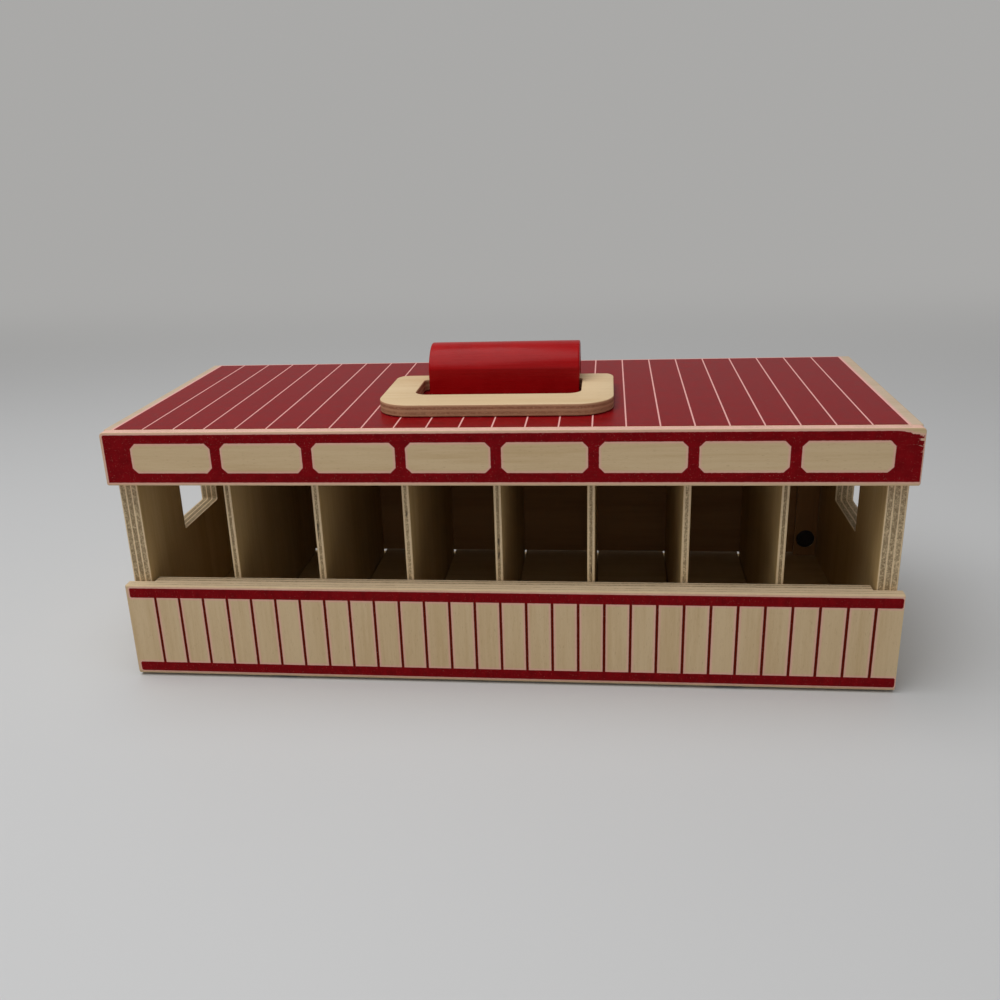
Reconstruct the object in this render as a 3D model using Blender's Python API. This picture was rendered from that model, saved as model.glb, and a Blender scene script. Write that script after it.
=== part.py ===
# Toy barn with eight stalls, a drop-down front door, a lift-up rear door and a folding carry handle.
# Metres, +Z up. X runs along the barn, the front faces -Y, and the origin is on the table
# under the middle of the barn's box at rest.

import math

import bmesh
import bpy
from mathutils import Matrix, Vector

# Driving sizes of the barn
LENGTH = 0.3573
ROOF_DEPTH = 0.151
HEIGHT = 0.1225
STALL_COUNT = 8

# Gap between touching pieces, overrun of a cut past a face, and rounding of board edges
GAP = 0.0003
OVERRUN = 0.002
EASE = 0.0005
EASE_STEPS = 2

# Roof and sign board above the stalls
ROOF_THICK = 0.006
SIDE_OVERHANG = 0.0028
REAR_OVERHANG = 0.005
SIGN_HEIGHT = 0.0251
SIGN_THICK = 0.005
SIGN_CORNER = 0.002

# Side walls and their windows
WALL_THICK = 0.009
WINDOW_WIDTH = 0.048
WINDOW_HEIGHT = 0.038
WINDOW_SILL = 0.0575
WINDOW_CORNER = 0.0015

# Floor, housed in the side walls, with a groove under each divider
FLOOR_THICK = 0.009
FLOOR_RAISE = 0.003
HOUSING_DEPTH = 0.003
GROOVE_WIDTH = 0.005
GROOVE_DEPTH = 0.003

# Dividers between the stalls
DIVIDER_THICK = 0.0035
DIVIDER_FRONT_GAP = 0.0006
DIVIDER_REAR_GAP = 0.0008

# Front door: an outer panel with a liner that fits between the side walls
PANEL_OVERHANG = 0.0019
PANEL_THICK = 0.006
PANEL_TOP = 0.048
PANEL_FOOT_GAP = 0.0005
LINER_THICK = 0.006
LINER_END_GAP = 0.001
LINER_FLOOR_GAP = 0.0005

# Front hinges: steel lugs under the floor, with eyes round pins in the panel's lower edge
LUG_X = 0.105
LUG_WIDTH = 0.012
LUG_THICK = 0.001
LUG_REACH = 0.026
LUG_SIDE_GAP = 0.0005
EYE_RADIUS = 0.0017
FRONT_PIN_RADIUS = 0.00075
FRONT_PIN_LENGTH = 0.030
PIN_PLAY = 0.00025
LUG_SCREW_RADIUS = 0.0009
LUG_SCREW_HEAD_RADIUS = 0.0019
LUG_SCREW_HEAD_THICK = 0.0006
LUG_SCREW_DEPTH = 0.005
LUG_SCREW_SPACING = 0.011
LUG_SCREW_INSET = 0.005

# Rear door, hung on two pins under the roof
REAR_DOOR_THICK = 0.005
REAR_DOOR_INSET = 0.0025
REAR_DOOR_SIDE_GAP = 0.001
REAR_DOOR_FLOOR_GAP = 0.001
REAR_DOOR_TOP_GAP = 0.0008
REAR_PIN_RADIUS = 0.0015
REAR_PIN_DEPTH = 0.012

# Rear corner posts with magnets, and steel discs on the door
POST_WIDTH = 0.0122
POST_THICK = 0.0028
MAGNET_RADIUS = 0.0048
MAGNET_PROUD = 0.0003
MAGNET_ABOVE_FLOOR = 0.0105
STRIKE_RADIUS = 0.0045
STRIKE_THICK = 0.0008

# Folding carry handle, lying forward on the roof, pushed a little to the left of its saddle
HANDLE_SHIFT = 0.0011
HANDLE_WIDTH = 0.1085
HANDLE_REACH = 0.0665
HANDLE_THICK = 0.0055
HANDLE_FRONT_SETBACK = 0.0228
HANDLE_GRIP_BAR = 0.0213
HANDLE_PIVOT_BAR = 0.0118
HANDLE_SIDE_BAR = 0.0151
HANDLE_FRONT_CORNER = 0.017
HANDLE_REAR_CORNER = 0.009
SLOT_FRONT_CORNER = 0.0065
SLOT_REAR_CORNER = 0.003

# Saddle block that holds the handle's narrow bar down on the roof
SADDLE_X = -0.0012
SADDLE_WIDTH = 0.030
SADDLE_END_GAP = 0.00235
SADDLE_SHOULDER = 0.0126
SADDLE_HEIGHT = 0.023
SADDLE_EASE = 0.0008
SWING_GAP = 0.0006
SADDLE_SCREW_RADIUS = 0.0011
SADDLE_SCREW_HEAD_RADIUS = 0.0026
SADDLE_SCREW_HEAD_THICK = 0.0014
SADDLE_SCREW_DEPTH = 0.008
SADDLE_SCREW_SPACING = 0.050

# Facets of round shapes
PIN_FACETS = 24
DISC_FACETS = 40
CORNER_FACETS = 8
CREST_FACETS = 24

# Places along Y, from the front door's face to the roof's rear edge
FRONT_Y = -(ROOF_DEPTH + PANEL_THICK - SIGN_THICK) / 2
SIGN_Y = FRONT_Y + PANEL_THICK - SIGN_THICK
PANEL_BACK_Y = FRONT_Y + PANEL_THICK
WALL_FRONT_Y = PANEL_BACK_Y + GAP
LINER_BACK_Y = WALL_FRONT_Y + LINER_THICK
ROOF_REAR_Y = SIGN_Y + ROOF_DEPTH
WALL_REAR_Y = ROOF_REAR_Y - REAR_OVERHANG
REAR_DOOR_OUT_Y = WALL_REAR_Y - REAR_DOOR_INSET
REAR_DOOR_IN_Y = REAR_DOOR_OUT_Y - REAR_DOOR_THICK
POST_BACK_Y = REAR_DOOR_IN_Y - GAP
POST_FRONT_Y = POST_BACK_Y - POST_THICK

# Places along Z
FLOOR_TOP = FLOOR_RAISE + FLOOR_THICK
ROOF_UNDER = HEIGHT - ROOF_THICK
WALL_TOP = ROOF_UNDER - GAP
MAGNET_Z = FLOOR_TOP + MAGNET_ABOVE_FLOOR

# Places along X
WALL_OUT_X = LENGTH / 2 - SIDE_OVERHANG
WALL_IN_X = WALL_OUT_X - WALL_THICK
STALL_PITCH = (2 * WALL_IN_X + DIVIDER_THICK) / STALL_COUNT
PANEL_END_X = WALL_OUT_X + PANEL_OVERHANG
HANDLE_X = SADDLE_X - HANDLE_SHIFT

# Front hinge axis: the middle of the panel's rounded lower edge
FRONT_AXIS = Vector((0, FRONT_Y + PANEL_THICK / 2, PANEL_FOOT_GAP + PANEL_THICK / 2))
FRONT_PIN_HOLE = FRONT_PIN_RADIUS + GAP
LUG_TOP = FLOOR_RAISE - GAP
LUG_REAR_Y = WALL_FRONT_Y + LUG_REACH
LUG_SCREW_ROWS = (LUG_REAR_Y - LUG_SCREW_INSET, LUG_REAR_Y - LUG_SCREW_INSET - LUG_SCREW_SPACING)

# Rear hinge axis: the middle of the door's rounded upper edge
REAR_DOOR_TOP = ROOF_UNDER - REAR_DOOR_TOP_GAP
REAR_AXIS = Vector((0, (REAR_DOOR_IN_Y + REAR_DOOR_OUT_Y) / 2, REAR_DOOR_TOP - REAR_DOOR_THICK / 2))

# Handle axis: the middle of the narrow bar's rounded rear edge
HANDLE_FRONT_Y = SIGN_Y + HANDLE_FRONT_SETBACK
HANDLE_REAR_Y = HANDLE_FRONT_Y + HANDLE_REACH
HANDLE_LOW = HEIGHT + GAP
HANDLE_AXIS = Vector((HANDLE_X, HANDLE_REAR_Y - HANDLE_THICK / 2, HANDLE_LOW + HANDLE_THICK / 2))
SLOT_FRONT_Y = HANDLE_FRONT_Y + HANDLE_GRIP_BAR
SLOT_REAR_Y = HANDLE_REAR_Y - HANDLE_PIVOT_BAR
SLOT_WIDTH = HANDLE_WIDTH - 2 * HANDLE_SIDE_BAR

# The saddle's tunnel clears the narrow bar from flat to upright
BAR_SWING = math.hypot(HANDLE_PIVOT_BAR - HANDLE_THICK / 2, HANDLE_THICK / 2)
TUNNEL_FRONT_Y = HANDLE_AXIS.y - BAR_SWING - SWING_GAP
TUNNEL_REAR_Y = HANDLE_REAR_Y + SWING_GAP
TUNNEL_TOP = HANDLE_AXIS.z + BAR_SWING + SWING_GAP
SADDLE_MID_Y = (TUNNEL_FRONT_Y + TUNNEL_REAR_Y) / 2
SADDLE_FRONT_Y = SADDLE_MID_Y - SADDLE_WIDTH / 2
SADDLE_REAR_Y = SADDLE_MID_Y + SADDLE_WIDTH / 2
SADDLE_LENGTH = SLOT_WIDTH - 2 * SADDLE_END_GAP
SADDLE_LOW = HEIGHT + GAP
SADDLE_SCREW_ROWS = ((SADDLE_FRONT_Y + TUNNEL_FRONT_Y) / 2, (TUNNEL_REAR_Y + SADDLE_REAR_Y) / 2)

# Surface values of each material: colour, roughness, metallic
SURFACES = {
    "birch_ply": ((0.62, 0.46, 0.29, 1.0), 0.62, 0.0),
    "red_print": ((0.26, 0.012, 0.016, 1.0), 0.45, 0.0),
    "red_paint": ((0.42, 0.012, 0.018, 1.0), 0.35, 0.0),
    "zinc_steel": ((0.55, 0.56, 0.57, 1.0), 0.35, 1.0),
    "black_ferrite": ((0.02, 0.02, 0.022, 1.0), 0.5, 0.0),
}


def clear_scene():
    for thing in list(bpy.data.objects):
        bpy.data.objects.remove(thing, do_unlink=True)


def make_materials():
    made = {}
    for name, (colour, roughness, metallic) in SURFACES.items():
        material = bpy.data.materials.new(name)
        material.use_nodes = True
        shader = material.node_tree.nodes["Principled BSDF"]
        shader.inputs["Base Color"].default_value = colour
        shader.inputs["Roughness"].default_value = roughness
        shader.inputs["Metallic"].default_value = metallic
        made[name] = material
    return made


def add_object(name, shape):
    # Turns a bmesh into a named object in the scene
    bmesh.ops.recalc_face_normals(shape, faces=shape.faces)
    mesh = bpy.data.meshes.new(name)
    shape.to_mesh(mesh)
    shape.free()
    thing = bpy.data.objects.new(name, mesh)
    bpy.context.scene.collection.objects.link(thing)
    return thing


def ease_edges(shape, edges, width):
    bmesh.ops.bevel(shape, geom=edges, offset=width, segments=EASE_STEPS, affect="EDGES", profile=0.5)


def box(name, low, high, ease=0):
    # A board between two corners, with its edges eased where asked
    low = Vector(low)
    high = Vector(high)
    shape = bmesh.new()
    bmesh.ops.create_cube(shape, size=1)
    stretch = Matrix.Diagonal((high - low).to_4d())
    bmesh.ops.transform(shape, matrix=Matrix.Translation((low + high) / 2) @ stretch, verts=shape.verts)
    if ease:
        ease_edges(shape, shape.edges[:], ease)
    return add_object(name, shape)


def rod(name, centre, direction, radius, length, facets):
    # A round bar about its middle, along the given direction
    shape = bmesh.new()
    bmesh.ops.create_cone(
        shape, cap_ends=True, segments=facets, radius1=radius, radius2=radius, depth=length)
    turn = Vector((0, 0, 1)).rotation_difference(Vector(direction)).to_matrix().to_4x4()
    bmesh.ops.transform(shape, matrix=Matrix.Translation(centre) @ turn, verts=shape.verts)
    return add_object(name, shape)


def prism(name, outline, push, ease=0):
    # A plate from a closed outline of 3-D points, pushed along a vector
    shape = bmesh.new()
    face = shape.faces.new([shape.verts.new(point) for point in outline])
    grown = bmesh.ops.extrude_face_region(shape, geom=[face])
    moved = [item for item in grown["geom"] if isinstance(item, bmesh.types.BMVert)]
    bmesh.ops.translate(shape, vec=push, verts=moved)
    if ease:
        rims = [edge for edge in shape.edges if abs((edge.verts[0].co - edge.verts[1].co).dot(push)) < ease ** 2]
        ease_edges(shape, rims, ease)
    return add_object(name, shape)


def arc(centre, radius, start, stop, facets):
    # Points of an arc as pairs, from one angle to another in degrees
    points = []
    for step in range(facets + 1):
        angle = math.radians(start + (stop - start) * step / facets)
        points.append((centre[0] + radius * math.cos(angle), centre[1] + radius * math.sin(angle)))
    return points


def rounded_rectangle(low, high, low_radius, high_radius):
    # Corners next to the low second coordinate take low_radius, the others high_radius
    points = []
    points += arc((high[0] - low_radius, low[1] + low_radius), low_radius, -90, 0, CORNER_FACETS)
    points += arc((high[0] - high_radius, high[1] - high_radius), high_radius, 0, 90, CORNER_FACETS)
    points += arc((low[0] + high_radius, high[1] - high_radius), high_radius, 90, 180, CORNER_FACETS)
    points += arc((low[0] + low_radius, low[1] + low_radius), low_radius, 180, 270, CORNER_FACETS)
    return points


def combine(target, tool, operation):
    # Applies a Boolean and removes the tool
    modifier = target.modifiers.new("shape", "BOOLEAN")
    modifier.operation = operation
    modifier.solver = "EXACT"
    modifier.object = tool
    with bpy.context.temp_override(object=target, active_object=target):
        bpy.ops.object.modifier_apply(modifier=modifier.name)
    bpy.data.objects.remove(tool, do_unlink=True)


def cut(target, tool):
    combine(target, tool, "DIFFERENCE")


def join(target, tool):
    combine(target, tool, "UNION")


def finish(thing, material, pivot=(0, 0, 0)):
    # Gives an object its material, its smooth round faces and its origin
    thing.data.materials.clear()
    thing.data.materials.append(MATERIALS[material])
    thing.data.shade_smooth()
    thing.data.set_sharp_from_angle(angle=math.radians(30))
    pivot = Vector(pivot)
    thing.data.transform(Matrix.Translation(-pivot))
    thing.location = pivot
    return thing


def side_name(side):
    return "left" if side < 0 else "right"


def divider_places():
    return [(index - STALL_COUNT / 2) * STALL_PITCH for index in range(1, STALL_COUNT)]


def build_floor():
    reach = WALL_IN_X + HOUSING_DEPTH - GAP
    floor = box("floor", (-reach, WALL_FRONT_Y, FLOOR_RAISE), (reach, WALL_REAR_Y, FLOOR_TOP), EASE)
    for place in divider_places():
        low = (place - GROOVE_WIDTH / 2, WALL_FRONT_Y - OVERRUN, FLOOR_TOP - GROOVE_DEPTH)
        high = (place + GROOVE_WIDTH / 2, WALL_REAR_Y + OVERRUN, FLOOR_TOP + OVERRUN)
        cut(floor, box("groove", low, high))
    for x, y in lug_screw_places():
        length = LUG_SCREW_DEPTH + 2 * GAP + OVERRUN
        centre = (x, y, FLOOR_RAISE - OVERRUN + length / 2)
        cut(floor, rod("hole", centre, (0, 0, 1), LUG_SCREW_RADIUS + GAP, length, PIN_FACETS))
    finish(floor, "birch_ply")


def build_side_wall(side):
    # side is -1 for the left wall and 1 for the right
    inner = side * WALL_IN_X
    outer = side * WALL_OUT_X
    low = (min(inner, outer), WALL_FRONT_Y, 0)
    high = (max(inner, outer), WALL_REAR_Y, WALL_TOP)
    wall = box(f"{side_name(side)}_side_wall", low, high, EASE)
    housing_from = side * (WALL_IN_X - OVERRUN)
    housing_to = side * (WALL_IN_X + HOUSING_DEPTH)
    housing_low = (min(housing_from, housing_to), WALL_FRONT_Y - OVERRUN, FLOOR_RAISE - GAP)
    housing_high = (max(housing_from, housing_to), WALL_REAR_Y + OVERRUN, FLOOR_TOP + GAP)
    cut(wall, box("housing", housing_low, housing_high))
    middle = (WALL_FRONT_Y + WALL_REAR_Y) / 2
    outline = rounded_rectangle(
        (middle - WINDOW_WIDTH / 2, WINDOW_SILL),
        (middle + WINDOW_WIDTH / 2, WINDOW_SILL + WINDOW_HEIGHT),
        WINDOW_CORNER, WINDOW_CORNER)
    start = min(inner, outer) - OVERRUN
    points = [(start, y, z) for y, z in outline]
    cut(wall, prism("window", points, Vector((WALL_THICK + 2 * OVERRUN, 0, 0))))
    hole_centre = ((inner + outer) / 2, REAR_AXIS.y, REAR_AXIS.z)
    hole_length = WALL_THICK + 2 * OVERRUN
    cut(wall, rod("hole", hole_centre, (1, 0, 0), REAR_PIN_RADIUS + GAP, hole_length, PIN_FACETS))
    finish(wall, "birch_ply")


def build_roof():
    low = (-LENGTH / 2, SIGN_Y + SIGN_THICK + GAP, ROOF_UNDER)
    high = (LENGTH / 2, ROOF_REAR_Y, HEIGHT)
    roof = box("roof", low, high, EASE)
    for x, y in saddle_screw_places():
        centre = (x, y, (ROOF_UNDER + HEIGHT) / 2)
        length = ROOF_THICK + 2 * OVERRUN
        cut(roof, rod("hole", centre, (0, 0, 1), SADDLE_SCREW_RADIUS + GAP, length, PIN_FACETS))
    finish(roof, "red_print")


def build_sign_board():
    outline = rounded_rectangle(
        (-LENGTH / 2, HEIGHT - SIGN_HEIGHT), (LENGTH / 2, HEIGHT), SIGN_CORNER / 2, SIGN_CORNER)
    points = [(x, SIGN_Y, z) for x, z in outline]
    sign = prism("sign_board", points, Vector((0, SIGN_THICK, 0)), EASE)
    finish(sign, "red_print")


def build_dividers():
    low_y = LINER_BACK_Y + DIVIDER_FRONT_GAP
    high_y = REAR_DOOR_IN_Y - DIVIDER_REAR_GAP
    low_z = FLOOR_TOP - GROOVE_DEPTH + GAP
    for number, place in enumerate(divider_places(), start=1):
        low = (place - DIVIDER_THICK / 2, low_y, low_z)
        high = (place + DIVIDER_THICK / 2, high_y, WALL_TOP)
        finish(box(f"divider_{number}", low, high, EASE), "birch_ply")


def front_panel_outline():
    # Section in Y and Z: a full round lower edge on the hinge axis, and square upper corners
    points = arc((FRONT_AXIS.y, FRONT_AXIS.z), PANEL_THICK / 2, 180, 360, 2 * CORNER_FACETS)
    points.append((PANEL_BACK_Y, PANEL_TOP - EASE))
    points.append((PANEL_BACK_Y - EASE, PANEL_TOP))
    points.append((FRONT_Y + EASE, PANEL_TOP))
    points.append((FRONT_Y, PANEL_TOP - EASE))
    return points


def build_front_door():
    points = [(-PANEL_END_X, y, z) for y, z in front_panel_outline()]
    panel = prism("front_door_panel", points, Vector((2 * PANEL_END_X, 0, 0)))
    notch_half = LUG_WIDTH / 2 + LUG_SIDE_GAP
    notch_front = FRONT_AXIS.y - EYE_RADIUS - GAP
    notch_top = FRONT_AXIS.z + EYE_RADIUS + GAP
    for side in (-1, 1):
        low = (side * LUG_X - notch_half, notch_front, -OVERRUN)
        high = (side * LUG_X + notch_half, PANEL_BACK_Y + OVERRUN, notch_top)
        cut(panel, box("notch", low, high))
        centre = FRONT_AXIS + Vector((side * LUG_X, 0, 0))
        hole = rod("hole", centre, (1, 0, 0), FRONT_PIN_HOLE, FRONT_PIN_LENGTH + 2 * GAP, PIN_FACETS)
        cut(panel, hole)
    finish(panel, "birch_ply", FRONT_AXIS)
    reach = WALL_IN_X - LINER_END_GAP
    low = (-reach, WALL_FRONT_Y, FLOOR_TOP + LINER_FLOOR_GAP)
    high = (reach, LINER_BACK_Y, PANEL_TOP - GAP)
    finish(box("front_door_liner", low, high, EASE), "birch_ply", FRONT_AXIS)


def build_front_pin(side):
    centre = FRONT_AXIS + Vector((side * LUG_X, 0, 0))
    name = f"{side_name(side)}_front_hinge_pin"
    pin = rod(name, centre, (1, 0, 0), FRONT_PIN_RADIUS, FRONT_PIN_LENGTH, PIN_FACETS)
    finish(pin, "zinc_steel", FRONT_AXIS)


def lug_screw_places():
    return [(side * LUG_X, y) for side in (-1, 1) for y in LUG_SCREW_ROWS]


def build_front_lug(side):
    middle = side * LUG_X
    low = (middle - LUG_WIDTH / 2, FRONT_AXIS.y, LUG_TOP - LUG_THICK)
    high = (middle + LUG_WIDTH / 2, LUG_REAR_Y, LUG_TOP)
    lug = box(f"{side_name(side)}_front_hinge_lug", low, high)
    centre = FRONT_AXIS + Vector((middle, 0, 0))
    join(lug, rod("eye", centre, (1, 0, 0), EYE_RADIUS, LUG_WIDTH, PIN_FACETS))
    bore = FRONT_PIN_RADIUS + PIN_PLAY
    cut(lug, rod("bore", centre, (1, 0, 0), bore, LUG_WIDTH + 2 * OVERRUN, PIN_FACETS))
    for x, y in lug_screw_places():
        if x == middle:
            hole_centre = (x, y, LUG_TOP - LUG_THICK / 2)
            length = LUG_THICK + 2 * OVERRUN
            cut(lug, rod("hole", hole_centre, (0, 0, 1), LUG_SCREW_RADIUS + GAP, length, PIN_FACETS))
    finish(lug, "zinc_steel")


def build_screw(name, place, head_low, head_thick, head_radius, shank_radius, top):
    # A screw that points up: a flat head with a straight shank to the given height
    x, y = place
    head_middle = (x, y, head_low + head_thick / 2)
    screw = rod(name, head_middle, (0, 0, 1), head_radius, head_thick, PIN_FACETS)
    shank_length = top - head_low - head_thick / 2
    shank_middle = (x, y, top - shank_length / 2)
    join(screw, rod("shank", shank_middle, (0, 0, 1), shank_radius, shank_length, PIN_FACETS))
    finish(screw, "zinc_steel")


def build_front_screws():
    head_low = LUG_TOP - LUG_THICK - GAP - LUG_SCREW_HEAD_THICK
    top = FLOOR_RAISE + LUG_SCREW_DEPTH
    for number, place in enumerate(lug_screw_places(), start=1):
        build_screw(
            f"front_hinge_screw_{number}", place, head_low,
            LUG_SCREW_HEAD_THICK, LUG_SCREW_HEAD_RADIUS, LUG_SCREW_RADIUS, top)


def magnet_place(side):
    # The middle of the corner post's width
    return side * (WALL_IN_X - GAP - POST_WIDTH / 2)


def rear_door_outline():
    # Section in Y and Z: a full round upper edge on the hinge axis, and a square lower edge
    low_z = FLOOR_TOP + REAR_DOOR_FLOOR_GAP
    points = arc((REAR_AXIS.y, REAR_AXIS.z), REAR_DOOR_THICK / 2, 0, 180, 2 * CORNER_FACETS)
    points.append((REAR_DOOR_IN_Y, low_z + EASE))
    points.append((REAR_DOOR_IN_Y + EASE, low_z))
    points.append((REAR_DOOR_OUT_Y - EASE, low_z))
    points.append((REAR_DOOR_OUT_Y, low_z + EASE))
    return points


def build_rear_door():
    reach = WALL_IN_X - REAR_DOOR_SIDE_GAP
    points = [(-reach, y, z) for y, z in rear_door_outline()]
    door = prism("rear_door", points, Vector((2 * reach, 0, 0)))
    for side in (-1, 1):
        hole_length = REAR_PIN_DEPTH + GAP + OVERRUN
        centre = (side * (reach + OVERRUN - hole_length / 2), REAR_AXIS.y, REAR_AXIS.z)
        cut(door, rod("hole", centre, (1, 0, 0), REAR_PIN_RADIUS + GAP, hole_length, PIN_FACETS))
        depth = STRIKE_THICK + GAP + OVERRUN
        centre = (magnet_place(side), REAR_DOOR_IN_Y - OVERRUN + depth / 2, MAGNET_Z)
        cut(door, rod("pocket", centre, (0, 1, 0), STRIKE_RADIUS + GAP, depth, DISC_FACETS))
    finish(door, "birch_ply", REAR_AXIS)


def build_rear_pin(side):
    inner_end = WALL_IN_X - REAR_DOOR_SIDE_GAP - REAR_PIN_DEPTH
    length = WALL_OUT_X - inner_end
    centre = (side * (WALL_OUT_X + inner_end) / 2, REAR_AXIS.y, REAR_AXIS.z)
    name = f"{side_name(side)}_rear_hinge_pin"
    finish(rod(name, centre, (1, 0, 0), REAR_PIN_RADIUS, length, PIN_FACETS), "zinc_steel")


def build_rear_post(side):
    outer = side * (WALL_IN_X - GAP)
    inner = side * (WALL_IN_X - GAP - POST_WIDTH)
    low = (min(outer, inner), POST_FRONT_Y, FLOOR_TOP + GAP)
    high = (max(outer, inner), POST_BACK_Y, WALL_TOP)
    post = box(f"{side_name(side)}_rear_post", low, high, EASE)
    centre = (magnet_place(side), (POST_FRONT_Y + POST_BACK_Y) / 2, MAGNET_Z)
    length = POST_THICK + 2 * OVERRUN
    cut(post, rod("hole", centre, (0, 1, 0), MAGNET_RADIUS + GAP, length, DISC_FACETS))
    finish(post, "birch_ply")


def build_magnet(side):
    thick = POST_THICK + MAGNET_PROUD
    centre = (magnet_place(side), POST_BACK_Y - thick / 2, MAGNET_Z)
    name = f"{side_name(side)}_magnet"
    finish(rod(name, centre, (0, 1, 0), MAGNET_RADIUS, thick, DISC_FACETS), "black_ferrite")


def build_strike(side):
    centre = (magnet_place(side), REAR_DOOR_IN_Y + STRIKE_THICK / 2, MAGNET_Z)
    name = f"{side_name(side)}_strike_disc"
    strike = rod(name, centre, (0, 1, 0), STRIKE_RADIUS, STRIKE_THICK, DISC_FACETS)
    finish(strike, "zinc_steel", REAR_AXIS)


def build_handle_ring():
    outline = rounded_rectangle(
        (HANDLE_X - HANDLE_WIDTH / 2, HANDLE_FRONT_Y),
        (HANDLE_X + HANDLE_WIDTH / 2, HANDLE_REAR_Y),
        HANDLE_FRONT_CORNER, HANDLE_REAR_CORNER)
    points = [(x, y, HANDLE_LOW) for x, y in outline]
    ring = prism("handle_ring", points, Vector((0, 0, HANDLE_THICK)), EASE)
    slot_outline = rounded_rectangle(
        (HANDLE_X - SLOT_WIDTH / 2, SLOT_FRONT_Y),
        (HANDLE_X + SLOT_WIDTH / 2, SLOT_REAR_Y),
        SLOT_FRONT_CORNER, SLOT_REAR_CORNER)
    slot_points = [(x, y, HANDLE_LOW - OVERRUN) for x, y in slot_outline]
    cut(ring, prism("slot", slot_points, Vector((0, 0, HANDLE_THICK + 2 * OVERRUN))))
    cut(ring, rear_edge_waste())
    finish(ring, "birch_ply", HANDLE_AXIS)


def rear_edge_waste():
    # What comes off the square rear edge to round it about the handle's axis
    centre = (HANDLE_AXIS.y, HANDLE_AXIS.z)
    rear = HANDLE_REAR_Y + OVERRUN
    section = arc(centre, HANDLE_THICK / 2, -90, 90, 2 * CORNER_FACETS)
    section.append((HANDLE_AXIS.y, HANDLE_LOW + HANDLE_THICK + OVERRUN))
    section.append((rear, HANDLE_LOW + HANDLE_THICK + OVERRUN))
    section.append((rear, HANDLE_LOW - OVERRUN))
    section.append((HANDLE_AXIS.y, HANDLE_LOW - OVERRUN))
    start = HANDLE_X - HANDLE_WIDTH / 2 - OVERRUN
    points = [(start, y, z) for y, z in section]
    return prism("waste", points, Vector((HANDLE_WIDTH + 2 * OVERRUN, 0, 0)))


def saddle_outline():
    # Section in Y and Z: upright faces to the shoulders, then a shallow arc over the crest
    half = SADDLE_WIDTH / 2
    rise = SADDLE_HEIGHT - SADDLE_SHOULDER
    radius = (half ** 2 + rise ** 2) / (2 * rise)
    centre = (SADDLE_MID_Y, HEIGHT + SADDLE_HEIGHT - radius)
    spread = math.degrees(math.asin(half / radius))
    points = arc(centre, radius, 90 - spread, 90 + spread, CREST_FACETS)
    points.append((SADDLE_FRONT_Y, SADDLE_LOW))
    points.append((SADDLE_REAR_Y, SADDLE_LOW))
    return points


def saddle_screw_places():
    half = SADDLE_SCREW_SPACING / 2
    return [(SADDLE_X + side * half, y) for side in (-1, 1) for y in SADDLE_SCREW_ROWS]


def build_saddle():
    start = SADDLE_X - SADDLE_LENGTH / 2
    points = [(start, y, z) for y, z in saddle_outline()]
    saddle = prism("handle_saddle", points, Vector((SADDLE_LENGTH, 0, 0)), SADDLE_EASE)
    low = (start - OVERRUN, TUNNEL_FRONT_Y, HEIGHT - OVERRUN)
    high = (start + SADDLE_LENGTH + OVERRUN, TUNNEL_REAR_Y, TUNNEL_TOP)
    cut(saddle, box("tunnel", low, high))
    for x, y in saddle_screw_places():
        length = SADDLE_SCREW_DEPTH + GAP + OVERRUN
        centre = (x, y, HEIGHT - OVERRUN + length / 2)
        cut(saddle, rod("hole", centre, (0, 0, 1), SADDLE_SCREW_RADIUS + GAP, length, PIN_FACETS))
    finish(saddle, "red_paint")


def build_saddle_screws():
    head_low = ROOF_UNDER - GAP - SADDLE_SCREW_HEAD_THICK
    for number, place in enumerate(saddle_screw_places(), start=1):
        build_screw(
            f"handle_screw_{number}", place, head_low, SADDLE_SCREW_HEAD_THICK,
            SADDLE_SCREW_HEAD_RADIUS, SADDLE_SCREW_RADIUS, HEIGHT + SADDLE_SCREW_DEPTH)


clear_scene()
MATERIALS = make_materials()
build_floor()
build_roof()
build_sign_board()
build_dividers()
build_front_door()
build_front_screws()
build_rear_door()
for END in (-1, 1):
    build_side_wall(END)
    build_front_pin(END)
    build_front_lug(END)
    build_rear_pin(END)
    build_rear_post(END)
    build_magnet(END)
    build_strike(END)
build_handle_ring()
build_saddle()
build_saddle_screws()
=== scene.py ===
import math

import bpy
from mathutils import Matrix, Vector


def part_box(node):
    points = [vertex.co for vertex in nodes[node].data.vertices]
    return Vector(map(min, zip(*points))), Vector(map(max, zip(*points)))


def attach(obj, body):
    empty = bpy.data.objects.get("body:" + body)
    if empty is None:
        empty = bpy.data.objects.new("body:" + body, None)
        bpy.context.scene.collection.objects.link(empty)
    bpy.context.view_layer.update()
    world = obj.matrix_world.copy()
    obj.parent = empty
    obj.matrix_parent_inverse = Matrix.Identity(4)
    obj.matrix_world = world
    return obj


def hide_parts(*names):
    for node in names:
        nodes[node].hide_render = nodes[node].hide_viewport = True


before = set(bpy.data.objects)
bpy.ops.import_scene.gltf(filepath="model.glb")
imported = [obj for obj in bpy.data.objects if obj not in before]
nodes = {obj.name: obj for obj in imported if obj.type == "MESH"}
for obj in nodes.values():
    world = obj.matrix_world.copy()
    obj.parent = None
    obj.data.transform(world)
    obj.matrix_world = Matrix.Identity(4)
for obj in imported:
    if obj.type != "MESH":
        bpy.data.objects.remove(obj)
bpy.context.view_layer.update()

mm = 0.001
tiny = 0.01 * mm
axisOf = {"x": 0, "y": 1, "z": 2}
print("frame loaded")


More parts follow.
